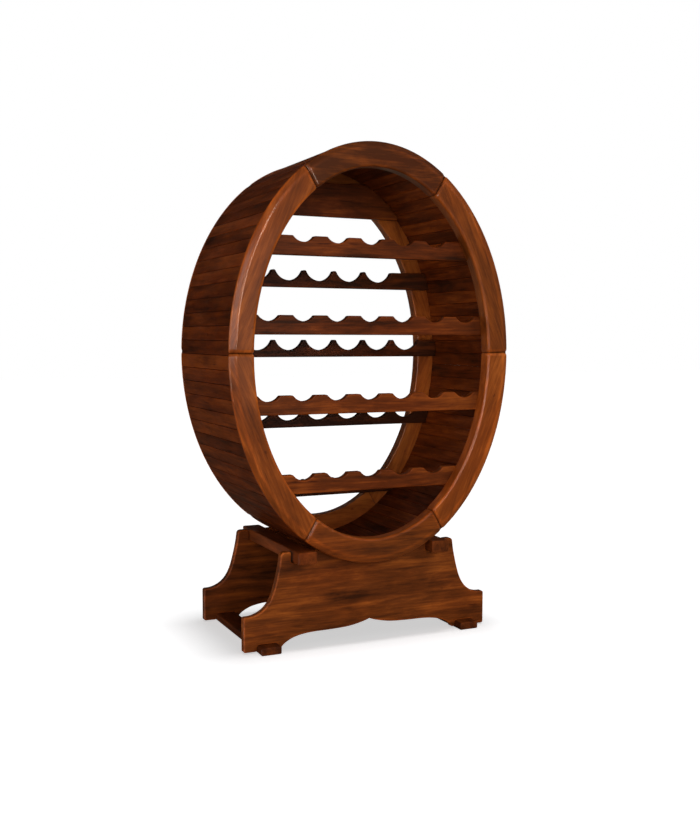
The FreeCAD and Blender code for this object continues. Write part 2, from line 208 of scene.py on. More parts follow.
def wood_material(name, dark, mid, light, rough=0.36, coat=0.35, blotch=0.62, figure=0.62, streak=0.55,
                  wear_and_highlight=0.4, spots=0.5, seam=0.6, bump=0.35, tone_amount=0.5, spec=0.12, coat_rough=0.2, dash=0.5,
                  worn_and_lit_tint=(1.75, 1.55, 1.40)):
    """Stained solid wood. The attribute "grain" holds metres along, across and through the board; "tone" one number
    per board; "edge" is 1 on the rounded arrises; "seam" is 1 at a joint, fading to 0 a few millimetres away."""
    t = Tree(name)
    g = t.attr("grain")
    tone = t.attr("tone", "Fac")
    edge = t.attr("edge", "Fac")
    seam_a = t.attr("seam", "Fac")
    # slow bending of the grain, so that no line runs quite straight
    warp = t.noise_color(t.scale3(g, (2.2, 7.0, 7.0)), 1.0, 2.0, 0.5)
    warp = t.vmath("SUBTRACT", warp, (0.5, 0.5, 0.5))
    gw = t.vmath("ADD", g, t.vmath("MULTIPLY", warp, (0.03, 0.022, 0.022)))
    # figure: growth layers, cut nearly flat, as broad soft bands of uneven width
    layers = t.noise(t.scale3(gw, (5.4, 66.0, 50.0)), 1.0, 4.0, 0.62, 0.4)
    broad = t.noise(t.scale3(gw, (3.2, 13.0, 13.0)), 1.0, 2.0, 0.55, 0.2)
    blot = t.noise(t.scale3(gw, (11.0, 34.0, 34.0)), 1.0, 4.0, 0.62, 0.5)
    fine = t.noise(t.scale3(gw, (13.0, 260.0, 260.0)), 1.0, 3.0, 0.65)
    fibre = t.noise(t.scale3(g, (26.0, 1100.0, 1100.0)), 1.0, 2.0, 0.6)
    # value between dark 0 and light 1
    v = t.math("MULTIPLY_ADD", t.math("SUBTRACT", layers, 0.5), figure * 2.0, 0.5)
    v = t.math("ADD", v, t.math("MULTIPLY", t.math("SUBTRACT", broad, 0.5), blotch * 1.3))
    v = t.math("ADD", v, t.math("MULTIPLY", t.math("SUBTRACT", blot, 0.5), blotch * 1.2))
    v = t.math("ADD", v, t.math("MULTIPLY", t.math("SUBTRACT", fine, 0.5), streak))
    v = t.math("ADD", v, t.math("MULTIPLY", t.math("SUBTRACT", tone, 0.5), tone_amount))
    v = t.math("MAXIMUM", t.math("MINIMUM", v, 1.0), 0.0)
    col = t.ramp(v, [(0.0, dark), (0.48, mid), (1.0, light)])
    # redder and browner patches where the stain took differently
    hue = t.noise(t.scale3(g, (3.4, 9.0, 9.0)), 1.0, 2.0, 0.5)
    col = t.mix(t.range(hue, 0.35, 0.7, 0.0, 0.42), col, t.mix(1.0, col, (1.10, 0.80, 0.62), "MULTIPLY"))
    # open pores: short dark dashes along the grain
    pore = t.noise(t.scale3(gw, (42.0, 760.0, 760.0)), 1.0, 1.0, 0.5)
    pore = t.range(pore, 0.60, 0.74, 0.0, 1.0)
    pore_patch = t.range(layers, 0.35, 0.62, 0.25, 1.0)
    pore = t.math("MULTIPLY", pore, pore_patch)
    col = t.mix(t.math("MULTIPLY", pore, 0.5), col, t.mix(1.0, col, (0.38, 0.30, 0.26), "MULTIPLY"))
    # dark specks and small knocks filled with stain
    vor = t.node("ShaderNodeTexVoronoi", {"Vector": t.vmath("ADD", t.scale3(g, (26.0, 40.0, 40.0)),
                                                            t.vmath("MULTIPLY", warp, (2.4, 2.4, 2.4))), "Scale": 1.0})
    near = t.range(vor.outputs["Distance"], 0.05, 0.17, 1.0, 0.0, True)
    sel = t.math("GREATER_THAN", t.node("ShaderNodeSeparateColor", {"Color": vor.outputs["Color"]}).outputs[0], 0.86)
    speck = t.math("MULTIPLY", near, sel)
    col = t.mix(t.math("MULTIPLY", speck, spots), col, t.mix(1.0, col, (0.30, 0.22, 0.18), "MULTIPLY"))
    # longer dark dashes along the grain, in scattered groups
    dv = t.node("ShaderNodeTexVoronoi", {"Vector": t.vmath("ADD", t.scale3(gw, (17.0, 150.0, 150.0)),
                                                           t.vmath("MULTIPLY", warp, (1.6, 3.0, 3.0))), "Scale": 1.0})
    dn = t.range(dv.outputs["Distance"], 0.10, 0.34, 1.0, 0.0, True)
    ds = t.math("GREATER_THAN", t.node("ShaderNodeSeparateColor", {"Color": dv.outputs["Color"]}).outputs[1], 0.80)
    dg = t.range(t.noise(t.scale3(g, (6.0, 14.0, 14.0)), 1.0, 1.0, 0.5), 0.46, 0.60, 0.0, 1.0)
    dashes = t.math("MULTIPLY", t.math("MULTIPLY", dn, ds), dg)
    col = t.mix(t.math("MULTIPLY", dashes, dash), col, t.mix(1.0, col, (0.36, 0.27, 0.22), "MULTIPLY"))
    # lighter along the arrises, unevenly: partly stain worn thin, partly painted highlight where the arrises would
    # catch the light
    wn = t.noise(t.scale3(g, (22.0, 60.0, 60.0)), 1.0, 3.0, 0.6)
    wear_highlight_mask = t.math("MULTIPLY", edge, t.range(wn, 0.30, 0.68, 0.15, 1.0))
    col = t.mix(t.math("MULTIPLY", wear_highlight_mask, wear_and_highlight), col, t.mix(1.0, col, worn_and_lit_tint, "MULTIPLY"))
    # dark glaze left in the joints
    col = t.mix(t.math("MULTIPLY", seam_a, seam), col, t.mix(1.0, col, (0.22, 0.15, 0.11), "MULTIPLY"))
    # gloss: satin lacquer with slightly duller patches
    rv = t.noise(t.scale3(g, (7.0, 26.0, 26.0)), 1.0, 3.0, 0.55)
    rr = t.math("ADD", t.range(rv, 0.3, 0.7, rough - 0.05, rough + 0.07), t.math("MULTIPLY", pore, 0.12))
    # bump: fibres, pores, growth layers and the faint waviness that planing leaves
    h = t.math("MULTIPLY", fine, 0.35)
    h = t.math("ADD", h, t.math("MULTIPLY", fibre, 0.12))
    h = t.math("SUBTRACT", h, t.math("MULTIPLY", pore, 0.55))
    h = t.math("SUBTRACT", h, t.math("MULTIPLY", speck, 1.2))
    b1 = t.node("ShaderNodeBump", {"Height": h, "Strength": bump, "Distance": 0.0005})
    soft = t.noise(t.scale3(g, (9.0, 22.0, 22.0)), 1.0, 2.0, 0.5)
    b2 = t.node("ShaderNodeBump", {"Height": soft, "Strength": 0.35, "Distance": 0.0022, "Normal": b1.outputs[0]})
    p = t.node("ShaderNodeBsdfPrincipled", {"Base Color": col, "Roughness": rr, "Normal": b2.outputs[0]})
    p.inputs["Specular IOR Level"].default_value = spec
    p.inputs["IOR"].default_value = 1.48
    p.inputs["Coat Weight"].default_value = coat
    p.inputs["Coat Roughness"].default_value = coat_rough
    p.inputs["Coat IOR"].default_value = 1.5
    t.put(t.out.inputs["Surface"], p.outputs[0])
    return t.mat


def steel_material(name, base, rough):
    t = Tree(name)
    co = t.node("ShaderNodeTexCoord").outputs["Object"]
    n1 = t.noise(t.scale3(co, (900.0, 900.0, 2500.0)), 1.0, 3.0, 0.6)
    n2 = t.noise(t.scale3(co, (140.0, 140.0, 140.0)), 1.0, 2.0, 0.5)
    col = t.mix(t.range(n2, 0.3, 0.7), tuple(c * 0.72 for c in base), base)
    b = t.node("ShaderNodeBump", {"Height": n1, "Strength": 0.25, "Distance": 0.0001})
    p = t.node("ShaderNodeBsdfPrincipled", {"Base Color": col, "Roughness": t.range(n1, 0.3, 0.7, rough - 0.06, rough + 0.1),
                                            "Normal": b.outputs[0]})
    p.inputs["Metallic"].default_value = 1.0
    t.put(t.out.inputs["Surface"], p.outputs[0])
    return t.mat


def beech_material(name):
    t = Tree(name)
    co = t.node("ShaderNodeTexCoord").outputs["Object"]
    n1 = t.noise(t.scale3(co, (300.0, 40.0, 300.0)), 1.0, 3.0, 0.6)
    n2 = t.noise(t.scale3(co, (1500.0, 200.0, 1500.0)), 1.0, 2.0, 0.6)
    col = t.ramp(n1, [(0.3, (0.36, 0.22, 0.12)), (0.55, (0.50, 0.34, 0.20)), (0.75, (0.58, 0.42, 0.27))])
    b = t.node("ShaderNodeBump", {"Height": n2, "Strength": 0.3, "Distance": 0.0002})
    p = t.node("ShaderNodeBsdfPrincipled", {"Base Color": col, "Roughness": t.range(n2, 0.3, 0.7, 0.55, 0.7), "Normal": b.outputs[0]})
    t.put(t.out.inputs["Surface"], p.outputs[0])
    return t.mat


MAT = {
    # the arrises of the ring and the stand are lightened strongly: partly worn stain, partly painted highlight
    "ring_wood": wood_material("ring_wood", rgb(62, 28, 6), rgb(112, 56, 16), rgb(162, 90, 34),
                               rough=0.40, coat=0.45, coat_rough=0.15, wear_and_highlight=0.75, worn_and_lit_tint=(2.15, 1.95, 1.75), seam=0.8, figure=0.5, dash=0.45),
    "stave_wood": wood_material("stave_wood", rgb(46, 18, 5), rgb(96, 43, 12), rgb(140, 70, 24),
                                rough=0.48, coat=0.03, spec=0.05, wear_and_highlight=0.55, seam=0.95, tone_amount=0.55, blotch=0.7, dash=0.7),
    "rail_wood": wood_material("rail_wood", rgb(42, 17, 4), rgb(90, 41, 12), rgb(144, 75, 26),
                               rough=0.44, coat=0.10, wear_and_highlight=0.45, blotch=0.75, dash=0.95),
    "stand_wood": wood_material("stand_wood", rgb(46, 20, 5), rgb(97, 48, 15), rgb(148, 80, 28),
                                rough=0.44, coat=0.10, wear_and_highlight=1.0, worn_and_lit_tint=(2.3, 2.15, 2.1), blotch=0.75, dash=0.7),
    "beam_wood": wood_material("beam_wood", rgb(54, 23, 7), rgb(94, 45, 15), rgb(130, 66, 24),
                               rough=0.46, coat=0.08, wear_and_highlight=0.4),
    "dowel_beech": beech_material("dowel_beech"),
    "zinc_steel": steel_material("zinc_steel", (0.52, 0.50, 0.46), 0.34),
    "bright_steel": steel_material("bright_steel", (0.50, 0.50, 0.50), 0.30),
    "dark_steel": steel_material("dark_steel", (0.05, 0.04, 0.035), 0.45),
}

slots = {s["node"]: s["material_slot"] for s in frame["record"]["subparts"]}
for node, ob in frame["nodes"].items():
    ob.data.materials.clear()
    ob.data.materials.append(MAT[slots[node]])


# =============================================================================================
# mesh helpers
# =============================================================================================
def new_piece(name, verts, faces, grain, tone, edge, seam, slot, nodes, sharp=38.0):
    """A closed mesh with its grain coordinates, riding on the root body in place of its CAD node."""
    me = bpy.data.meshes.new(name)
    me.from_pydata([tuple(v) for v in verts], [], faces)
    me.validate()
    n = len(me.vertices)
    for key, kind, data in (("grain", "FLOAT_VECTOR", grain), ("tone", "FLOAT", tone), ("edge", "FLOAT", edge), ("seam", "FLOAT", seam)):
        a = me.attributes.new(key, kind, "POINT")
        data = np.asarray(data, np.float32)
        if data.ndim == 0:
            data = np.full(n, float(data), np.float32)
        a.data.foreach_set("vector" if kind == "FLOAT_VECTOR" else "value", data.ravel())
    me.polygons.foreach_set("use_smooth", [True] * len(me.polygons))
    me.set_sharp_from_angle(angle=math.radians(sharp))
    me.update()
    ob = bpy.data.objects.new(name, me)
    scene.collection.objects.link(ob)
    ob.data.materials.append(MAT[slot])
    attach(ob, "root")
    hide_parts(*nodes)
    return ob


def area2(p):
    x, z = p[:, 0], p[:, 1]
    return float(np.sum(x * np.roll(z, -1) - np.roll(x, -1) * z))


def clean(p, tol=0.00005):
    keep = [i for i in range(len(p)) if np.linalg.norm(p[i] - p[i - 1]) > tol]
    return p[keep]


def round_corners(p, radius, turn_deg=24.0, steps=5):
    """Rounds the sharp corners of a closed outline. A rounding may take the place of several short sides."""
    n = len(p)
    d = np.roll(p, -1, 0) - p
    L = np.linalg.norm(d, axis=1)
    u = d / L[:, None]
    turn = np.degrees(np.arccos(np.clip(np.sum(np.roll(u, 1, 0) * u, 1), -1, 1)))
    corners = [i for i in range(n) if turn[i] > turn_deg]
    if not corners:
        return p
    cum = np.concatenate([[0], np.cumsum(L)])
    total = cum[-1]
    closed = np.vstack([p, p[:1]])

    def at(s):
        s = s % total
        return np.array([np.interp(s, cum, closed[:, 0]), np.interp(s, cum, closed[:, 1])])

    room = {}
    for a, i in enumerate(corners):
        before = (cum[i] - cum[corners[a - 1]]) % total or total
        after = (cum[corners[(a + 1) % len(corners)]] - cum[i]) % total or total
        room[i] = 0.47 * min(before, after)
    out = []
    # a pointed corner gets a longer rounding, so that it can still be inset
    reach = {i: min(radius * (1.7 if turn[i] > 100 else 1.1) * math.tan(math.radians(turn[i]) / 2), room[i]) for i in corners}
    for i in range(n):
        if i in reach:
            r, s = reach[i], cum[i]
            a, c, e = at(s - r), p[i], at(s + r)
            h = 0.5523 if turn[i] > 60 else 0.62
            b1, b2 = a + (c - a) * h, e + (c - e) * h
            for k in range(steps + 1):
                t = k / steps
                out.append((1 - t) ** 3 * a + 3 * (1 - t) ** 2 * t * b1 + 3 * (1 - t) * t * t * b2 + t ** 3 * e)
            continue
        near = False
        for j in corners:
            gap = abs(cum[i] - cum[j])
            if min(gap, total - gap) < reach[j] + 0.0002:
                near = True
                break
        if not near:
            out.append(p[i])
    return clean(np.array(out))


def miters(p):
    """Outward miter vectors of a counter-clockwise outline."""
    d = np.roll(p, -1, 0) - p
    d /= np.linalg.norm(d, axis=1)[:, None]
    nrm = np.stack([d[:, 1], -d[:, 0]], 1)
    a, b = np.roll(nrm, 1, 0), nrm
    m = a + b
    return m / (1.0 + np.sum(a * b, 1))[:, None]


def resample(p, longest):
    """Adds points on long straight sides."""
    out = []
    for i in range(len(p)):
        a, b = p[i], p[(i + 1) % len(p)]
        k = max(1, int(math.ceil(np.linalg.norm(b - a) / longest)))
        for j in range(k):
            out.append(a + (b - a) * j / k)
    return np.array(out)


def cap_triangles(q):
    """Triangles over a flat outline, as indices of its points. The outline must not cross itself."""
    n = len(q)
    vs, es, fs, ov, oe, of = delaunay_2d_cdt([Vector((float(x), float(z))) for x, z in q * 1000.0], [],
                                             [tuple(range(n))], 1, 1e-7)
    assert len(vs) == n, "outline crosses itself"
    return [tuple(ov[i][0] for i in f) for f in fs]


def prism(name, outline, y0, y1, r, grain_of, tone, slot, nodes, steps=5, corner=0.0015, longest=0.03, seam_of=None, sharp=38.0):
    """The outline (x, z) drawn out along Y, with rounded arrises of radius r."""
    p = np.array(outline, float)
    if area2(p) < 0:
        p = p[::-1]
    p = clean(p)
    support = min(0.0007, r)
    if corner > 0:
        p = round_corners(p, max(corner, r + support + 0.0004))
    p = resample(p, longest)
    m = miters(p)
    n = len(p)
    rings = []          # (inset, y, edge value)
    rings.append((r + support, y0, 0.0))
    for k in range(steps + 1):
        f = math.pi / 2 * k / steps
        rings.append((r * (1 - math.sin(f)), y0 + r * (1 - math.cos(f)), math.sin(2 * f) ** 0.5 if 0 < k < steps else 0.35))
    rings.append((0.0, y0 + r + support, 0.0))
    nseg = max(1, int((y1 - y0 - 2 * r) / 0.05))
    for k in range(1, nseg):
        rings.append((0.0, y0 + r + (y1 - y0 - 2 * r) * k / nseg, 0.0))
    rings.append((0.0, y1 - r - support, 0.0))
    for k in range(steps, -1, -1):
        f = math.pi / 2 * k / steps
        rings.append((r * (1 - math.sin(f)), y1 - r * (1 - math.cos(f)), math.sin(2 * f) ** 0.5 if 0 < k < steps else 0.35))
    rings.append((r + support, y1, 0.0))
    verts, edge = [], []
    for ins, y, e in rings:
        q = p - m * ins
        for x, z in q:
            verts.append((x, y, z))
            edge.append(e)
    faces = []
    for k in range(len(rings) - 1):
        a, b = k * n, (k + 1) * n
        for i in range(n):
            j = (i + 1) % n
            faces.append((a + i, a + j, b + j, b + i))
    cap = cap_triangles(p - m * rings[0][0])
    last = (len(rings) - 1) * n
    for tri in cap:
        if area2(p[list(tri)]) < 0:
            tri = tri[::-1]
        faces.append(tuple(reversed(tri)))
        faces.append(tuple(last + i for i in tri))
    # outline runs counter-clockwise seen from -Y with x right and z up, so the front cap is reversed here
    faces = [tuple(reversed(f)) for f in faces]
    verts = np.array(verts)
    grain = grain_of(verts)
    seam = seam_of(verts) if seam_of else 0.0
    return new_piece(name, verts, faces, grain, tone, edge, seam, slot, nodes, sharp)


def along_x(offset):
    return lambda v: np.stack([v[:, 0] + offset[0], v[:, 2] + offset[1], v[:, 1] + offset[2]], 1)


def along_y(offset):
    return lambda v: np.stack([v[:, 1] + offset[0], v[:, 0] + offset[1], v[:, 2] + offset[2]], 1)


def some_offset():
    return rng.uniform(-40, 40, 3)


def half_width(a, b, z):
    return a * math.sqrt(max(0.0, 1 - ((z - ZC) / b) ** 2))


def ell(a, b, t):
    return np.stack([a * np.cos(t), ZC + b * np.sin(t)], -1)


# =============================================================================================
# end rings: six felloes each, with rounded arrises and rounded ends at the joints
# =============================================================================================
OUT_W, OUT_Y = 13.5 * MM, 4.8 * MM      # sloping band of the outer arris: along the face, and back from it
OUT_R1, OUT_R2 = 4.5 * MM, 4.0 * MM     # length of the roundings at its inner and outer end
IN_W, IN_Y = 6.5 * MM, 6.0 * MM
END_S, END_D = 8.5 * MM, 4.2 * MM       # rounding of the felloes' ends: along the felloe, and down from the face


def felloe_profile():
    """Closed profile (w inwards from the rim, y back from the face, edge value)."""
    pts = []
    s = 6
    L = math.hypot(OUT_W, OUT_Y)
    slope = np.array([-OUT_W / L, OUT_Y / L])
    c1, c2 = np.array([OUT_W, 0.0]), np.array([0.0, OUT_Y])
    pts.append((OUT_W + OUT_R1 + 1.0 * MM, 0.0, 0.0))
    for c, a, b, top in ((c1, c1 + [OUT_R1, 0.0], c1 + slope * OUT_R1, 0.7), (c2, c2 - slope * OUT_R2, c2 + [0.0, OUT_R2], 1.0)):
        for k in range(s + 1):
            f = k / s
            q = (1 - f) ** 2 * a + 2 * f * (1 - f) * c + f * f * b
            pts.append((float(q[0]), float(q[1]), top * math.sin(math.pi * f) * 0.85 + 0.15 * (a is not c1)))
    pts.append((0.3 * MM, FLANGE, 0.2))
    pts.append((3.0 * MM, FLANGE, 0.0))
    pts.append((RAB, FLANGE, 0.0))
    pts.append((RAB, 15.0 * MM, 0.0))
    pts.append((RAB, RT - 1.0 * MM, 0.0))
    pts.append((RAB + 1.0 * MM, RT, 0.2))
    pts.append((25.0 * MM, RT, 0.0))
    pts.append((40.0 * MM, RT, 0.0))
    r = 2.2 * MM
    pts.append((FACE - r - 1.0 * MM, RT, 0.0))
    for k in range(5):
        f = math.pi / 2 * k / 4
        pts.append((FACE - r + r * math.sin(f), RT - r + r * math.cos(f), math.sin(2 * f)))
    pts.append((FACE, RT - r - 1.0 * MM, 0.0))
    pts.append((FACE, 20.0 * MM, 0.0))
    pts.append((FACE, 13.0 * MM, 0.0))
    pts.append((FACE, IN_Y + 1.0 * MM, 0.0))
    for k in range(8):
        f = math.pi / 2 * k / 7
        pts.append((FACE - IN_W + IN_W * math.cos(f), IN_Y - IN_Y * math.sin(f), math.sin(2 * f) * 0.95))
    pts.append((FACE - IN_W - 1.2 * MM, 0.0, 0.0))
    pts.append((FACE - 17.0 * MM, 0.0, 0.0))
    pts.append((FACE - 27.0 * MM, 0.0, 0.0))
    return pts


# how light each front felloe is, in the order of NAMES; partly the wood's own tone, partly painted shade: the top
# felloe is set darker for the light that falls off towards the top of the ring
FRONT_TONE_AND_SHADE = [0.14, -0.38, 0.56, 0.42, 0.14, 0.44]
PROFILE = felloe_profile()
PW = np.array([p[0] for p in PROFILE])
PY = np.array([p[1] for p in PROFILE])
PE = np.array([p[2] for p in PROFILE])


def felloe(side, index):
    word = "front" if side < 0 else "back"
    t0 = math.radians(JOINTS[index])
    t1 = math.radians(JOINTS[(index + 1) % 6] + (360 if index == 5 else 0))
    am, bm = RA - FACE / 2, RB - FACE / 2
    # stations along the felloe, closer together in its rounded ends
    ts = np.linspace(t0, t1, 400)
    mid = ell(am, bm, ts)
    s = np.concatenate([[0], np.cumsum(np.linalg.norm(np.diff(mid, axis=0), axis=1))])
    L = s[-1]
    gap = 0.12 * MM
    ends = [0.0]
    for k in range(1, 8):
        f = math.pi / 2 * k / 7
        ends.append(END_S * (1 - math.cos(f)))
    ends = [gap + e for e in ends] + [gap + END_S + 1.2 * MM]
    inner = np.linspace(ends[-1], L - ends[-1], 44)[1:-1]
    stations = np.array(ends + list(inner) + [L - e for e in reversed(ends)])
    tt = np.interp(stations, s, ts)
    # grain runs straight along the felloe's chord
    a, b = mid[0], mid[-1]
    chord = (b - a) / np.linalg.norm(b - a)
    off = some_offset()
    verts, edge, seam, grain = [], [], [], []
    npf = len(PW)
    wav = rng.uniform(0, 6.28, 3)
    for st, t in zip(stations, tt):
        d = min(st, L - st) - gap
        ins = 0.0
        if d < END_S:
            ins = END_D * (1 - math.sqrt(max(0.0, 1 - (1 - d / END_S) ** 2)))
        w, y = PW.copy(), PY.copy()
        fronty = (PY <= FLANGE + 1e-6) & (PW < FACE / 2)
        w = np.where(fronty, w + ins * (1 - w / (FACE / 2)), w)
        w = np.where(PW > FACE / 2, w - ins * (PW - FACE / 2) / (FACE / 2), w)
        y = y + ins * (1 - y / RT)
        # a trace of hand work in the face and edges
        y = y + 0.15 * MM * (1 + np.sin(st * 31.0 + wav[0])) * (PY < 0.001)
        ca, sa_ = math.cos(t), math.sin(t)
        x = (RA - w) * ca
        z = ZC + (RB - w) * sa_
        yy = (Y0 + y) if side < 0 else (Y1 - y)
        for i in range(npf):
            verts.append((x[i], yy[i], z[i]))
            e = PE[i]
            endv = 0.0
            if d < END_S:
                q = 1 - d / END_S
                endv = 0.75 * math.sin(math.pi * min(1.0, 1.25 * q)) if q < 0.8 else 0.1
            edge.append(max(e, endv) if PY[i] < FLANGE else e * 0.6)
            seam.append(float(np.clip(1.0 - d / (1.6 * MM), 0, 1)))
            rel = np.array([x[i], z[i]]) - a
            u = rel @ chord
            v = rel @ np.array([-chord[1], chord[0]])
            grain.append((u + off[0], v + off[1], yy[i] + off[2]))
    ns = len(stations)
    faces = []
    for k in range(ns - 1):
        for i in range(npf):
            j = (i + 1) % npf
            faces.append((k * npf + i, k * npf + j, (k + 1) * npf + j, (k + 1) * npf + i))
    faces.append(tuple(reversed(range(npf))))
    faces.append(tuple(range((ns - 1) * npf, ns * npf)))
    if side < 0:
        faces = [tuple(reversed(f)) for f in faces]
    name = "%s_felloe_%s" % (word, NAMES[index])
    tone = FRONT_TONE_AND_SHADE[index] if side < 0 else rng.uniform(0.65, 0.95)
    return new_piece("wood_" + name, np.array(verts), faces, np.array(grain), tone, edge, seam,
                     "ring_wood", [name], sharp=33.0)


for side in (-1, 1):
    for i in range(6):
        felloe(side, i)


# =============================================================================================
# staves
# =============================================================================================
def stave_params(n):
    m = 7200
    ts = np.linspace(0, 2 * math.pi, m + 1)
    p = ell(SA, SB, ts)
    cum = np.concatenate([[0], np.cumsum(np.linalg.norm(np.diff(p, axis=0), axis=1))])
    return np.interp(np.arange(n) * cum[-1] / n, cum, ts)


def sector(t):
    d = math.degrees(t) % 360
    for i in range(6):
        lo, hi = JOINTS[i], JOINTS[(i + 1) % 6] + (360 if i == 5 else 0)
        if lo <= d < hi or lo <= d + 360 < hi:
            return i
    return 5


def unit_normal(t):
    n = np.array([math.cos(t) / SA, math.sin(t) / SB])
    return n / np.linalg.norm(n)


def line_meet(p, d, q, e):
    a = np.array([[d[0], -e[0]], [d[1], -e[1]]])
    s = np.linalg.solve(a, q - p)
    return p + d * s[0]


params = stave_params(N_STAVES)
groups = [dict(v=[], f=[], g=[], t=[], e=[], s=[]) for _ in range(6)]
ys0, ys1 = Y0 + FLANGE + 0.2 * MM, Y1 - FLANGE - 0.2 * MM
GAP, EASE = 0.015 * MM, 1.6 * MM
for k in range(N_STAVES):
    ta = params[k]
    tb = params[(k + 1) % N_STAVES] + (2 * math.pi if k == N_STAVES - 1 else 0)
    tc = (ta + tb) / 2
    G = groups[sector(tc)]
    pc, nc = ell(SA, SB, np.array(tc)), unit_normal(tc)
    tang = np.array([-nc[1], nc[0]])
    lines = []
    for t, sgn in ((ta, 1), (tb, -1)):
        p, n = ell(SA, SB, np.array(t)), unit_normal(t)
        tg = np.array([-n[1], n[0]])
        lines.append((p + tg * (sgn * GAP), n))
    lift = rng.uniform(-0.25, 0.25) * MM
    pco = pc + nc * (STAVE_T + lift)
    i0, i1 = line_meet(pc, tang, *lines[0]), line_meet(pc, tang, *lines[1])
    o0, o1 = line_meet(pco, tang, *lines[0]), line_meet(pco, tang, *lines[1])
    poly = np.array([i0, i1, o1, o0])
    if area2(poly) < 0:
        poly = poly[::-1]
    corner = round_corners(poly, EASE * rng.uniform(0.85, 1.2), steps=4)
    # add points near the roundings and across the faces
    pts = []
    nn = len(corner)
    for i in range(nn):
        a, b = corner[i], corner[(i + 1) % nn]
        pts.append(a)
        L = np.linalg.norm(b - a)
        if L > 0.004:
            u = (b - a) / L
            pts += [a + u * 0.0009, a + u * L * 0.33, a + u * L * 0.67, b - u * 0.0009]
    pts = np.array(pts)
    npt = len(pts)
    off = some_offset()
    tone = float(np.clip(rng.normal(0.5, 0.24), 0, 1))
    bow = rng.uniform(-0.18, 0.18) * MM
    ph = rng.uniform(0, 6.28)
    ny = 9
    base = len(G["v"])
    loc = pts - pc
    vt = loc @ tang
    vn = loc @ nc
    half = np.abs(vt).max()
    for iy in range(ny + 1):
        f = iy / ny
        y = ys0 + (ys1 - ys0) * f
        shift = bow * math.sin(math.pi * f) + 0.07 * MM * math.sin(9 * f + ph)
        for i in range(npt):
            q = pts[i] + nc * shift
            G["v"].append((q[0], y, q[1]))
            G["g"].append((y + off[0], vt[i] + off[1], vn[i] + off[2]))
            G["t"].append(tone)
            dist = half - abs(vt[i])
            G["e"].append(1.0 if 0.0002 < dist < EASE else 0.0)
            G["s"].append(float(np.clip(1 - (dist) / (1.5 * MM), 0, 1)))
    for iy in range(ny):
        for i in range(npt):
            j = (i + 1) % npt
            a, b = base + iy * npt, base + (iy + 1) * npt
            G["f"].append((a + j, a + i, b + i, b + j))
    G["f"].append(tuple(base + i for i in range(npt)))
    G["f"].append(tuple(reversed([base + ny * npt + i for i in range(npt)])))
for i, G in enumerate(groups):
    faces = [tuple(reversed(f)) for f in G["f"]]
    new_piece("wood_staves_" + NAMES[i], np.array(G["v"]), faces, np.array(G["g"]), G["t"], G["e"], G["s"],
              "stave_wood", ["staves_" + NAMES[i]], sharp=40.0)


# =============================================================================================
# rails
# =============================================================================================
def rail_outline(z0, slots_n, r, depth):
    z1 = z0 + RAIL_H
    # the ends follow the barrel's wall
    end = [(half_width(SA - CLEAR, SB - CLEAR, z), z) for z in np.linspace(z0, z1, 7)]
    pts = list(end)
    cz = z1 + r - depth
    half = math.sqrt(r * r - (r - depth) ** 2)
    a = math.asin(half / r)
    for k in range(slots_n - 1, -1, -1):
        x = (k - (slots_n - 1) / 2) * PITCH_X
        for j in range(25):
            f = a - 2 * a * j / 24
            pts.append((x + r * math.sin(f), cz - r * math.cos(f)))
    return pts + [(-x, z) for x, z in end[::-1]]


yf0, yf1 = Y0 + RT, Y0 + RT + RAIL_T
yb0, yb1 = Y1 - RT - RAIL_T, Y1 - RT
# the back rails are set darker as painted shade, standing in for the shadow of the bottles that lie on them and of the
# front rails
BACK_RAIL_SHADE_TONE = [-0.2, -0.45, -0.25, -0.2]   # and each back rail
RAIL_TONE = [0.62, 0.52, 0.12, 0.20]     # how light each front rail is
for i, z0 in enumerate(LEVEL_Z):
    prism("wood_front_rail_%d" % (i + 1), rail_outline(z0, LEVEL_SLOTS[i], NECK_R, NECK_D), yf0, yf1, 2.5 * MM,
          along_x(some_offset()), RAIL_TONE[i], "rail_wood", ["front_rail_%d" % (i + 1)], corner=2.5 * MM)
    prism("wood_back_rail_%d" % (i + 1), rail_outline(z0 - BACK_DROP, LEVEL_SLOTS[i], BODY_R, BODY_D), yb0, yb1, 2.5 * MM,
          along_x(some_offset()), BACK_RAIL_SHADE_TONE[i], "rail_wood", ["back_rail_%d" % (i + 1)], corner=2.5 * MM)

tz0, tz1 = TOP_Z
pts = []
for z in np.linspace(tz0, tz1, 12):
    pts.append((half_width(SA - CLEAR, SB - CLEAR, z), z))
pts = [(-x, z) for x, z in pts[::-1]] + pts
prism("wood_back_top_rail", pts, yb0, yb1, 2.5 * MM, along_x(some_offset()), 0.5, "rail_wood", ["back_top_rail"], corner=1.5 * MM)

# =============================================================================================
# stand
# =============================================================================================
ARCH = [(0, 46.5), (10, 43.0), (22, 39.8), (35, 37.0), (52, 34.3), (75, 32.8), (105, 32.0), (140, 31.4), (165, 28.8), (186, 23.5), (202, 15.5), (210.5, 8.5), (214, 3.0)]
SIDE = [(290.0, 80.0), (281.5, 80.7), (272.5, 83.0), (263.0, 87.0), (254.0, 92.8), (245.5, 101.0), (238.0, 112.0), (231.2, 127.0), (226.5, 142.0), (222.6, 157.0), (219.0, 173.0), (216.0, 188.0), (213.6, 205.0)]
EAR_ROUND = [(213.3, 207.5), (212.5, 209.8), (211.0, 211.6), (208.9, 213.0), (206.8, 213.8)]
BOARD_X, SHOULDER, EAR, FOOT = 299.0, 80.0, 214.0, 3.0
BEARER_X, BEARER_Z, BEARER_SLOT = (142.0, 185.0), (189.5, 216.0), (5.0, 1.0)
RUNNER_X, RUNNER_H = (222.0, 268.0), 17.0
BOARD_Y, BOARD_T = 133.0, 18.0
BEARER_LEN, RUNNER_LEN = 364.0, 354.0


